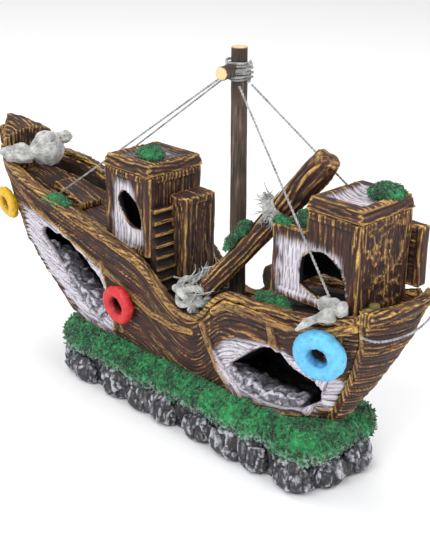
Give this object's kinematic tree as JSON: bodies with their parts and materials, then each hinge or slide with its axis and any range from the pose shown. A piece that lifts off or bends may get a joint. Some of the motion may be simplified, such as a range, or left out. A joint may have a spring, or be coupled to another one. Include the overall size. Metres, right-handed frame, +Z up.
{
  "type": "bubbling shipwreck aquarium ornament",
  "caption": "Sunken sailing ship ornament on a mossy rock foot, with swim-through openings and a pull-out air stone.",
  "frame": {"origin": "centre of the flat underside of the rock foot", "axes": "+X along the ship towards the stern, +Y to starboard, +Z up"},
  "size_m": [0.2714, 0.0627, 0.1753],
  "materials": {
    "planking": "satin",
    "dark_planking": "satin",
    "rock": "satin",
    "cave_rock": "matte",
    "moss": "matte",
    "rope": "matte",
    "twig": "matte",
    "ring_yellow": "satin",
    "ring_red": "satin",
    "ring_blue": "satin",
    "rubber": "matte",
    "clear_plastic": "gloss",
    "air_stone": "matte"
  },
  "bodies": {
    "ship": {"hull_port": "planking", "hull_starboard": "planking", "stem_post": "planking", "bow_deck": "planking", "waist_deck": "planking", "quarter_deck": "planking", "transom": "planking", "taffrail": "planking", "rail_port": "planking", "rail_starboard": "planking", "fore_cabin": "planking", "fore_cabin_roof": "planking", "aft_cabin": "planking", "aft_cabin_roof": "planking", "side_locker": "planking", "hatch_plank": "planking", "beakhead": "dark_planking", "fore_cabin_block": "dark_planking", "stairs": "dark_planking", "mast_log": "dark_planking", "rock_base": "rock", "hull_floor": "cave_rock", "moss_bank": "moss", "moss_fore_roof": "moss", "moss_aft_roof": "moss", "moss_annex": "moss", "moss_log": "moss", "moss_rail": "moss", "log_knot": "rope", "log_wrap": "rope", "bow_rope": "rope", "stern_cloth": "rope", "mast_lashing": "rope", "stay_port_bow": "rope", "stay_starboard_bow": "rope", "stay_port_stern": "rope", "stay_starboard_stern": "rope", "stern_rope": "rope", "mast": "twig", "yard": "twig", "life_ring_yellow": "ring_yellow", "life_ring_red": "ring_red", "life_ring_blue": "ring_blue"},
    "air_unit": {"air_bung": "rubber", "air_inlet": "clear_plastic", "air_stone": "air_stone"}
  },
  "joints": [
    {"name": "air_unit_pull", "type": "slide", "parent": "ship", "child": "air_unit", "axis": [0, 1, 0], "range_m": [0, 0.045]}
  ]
}
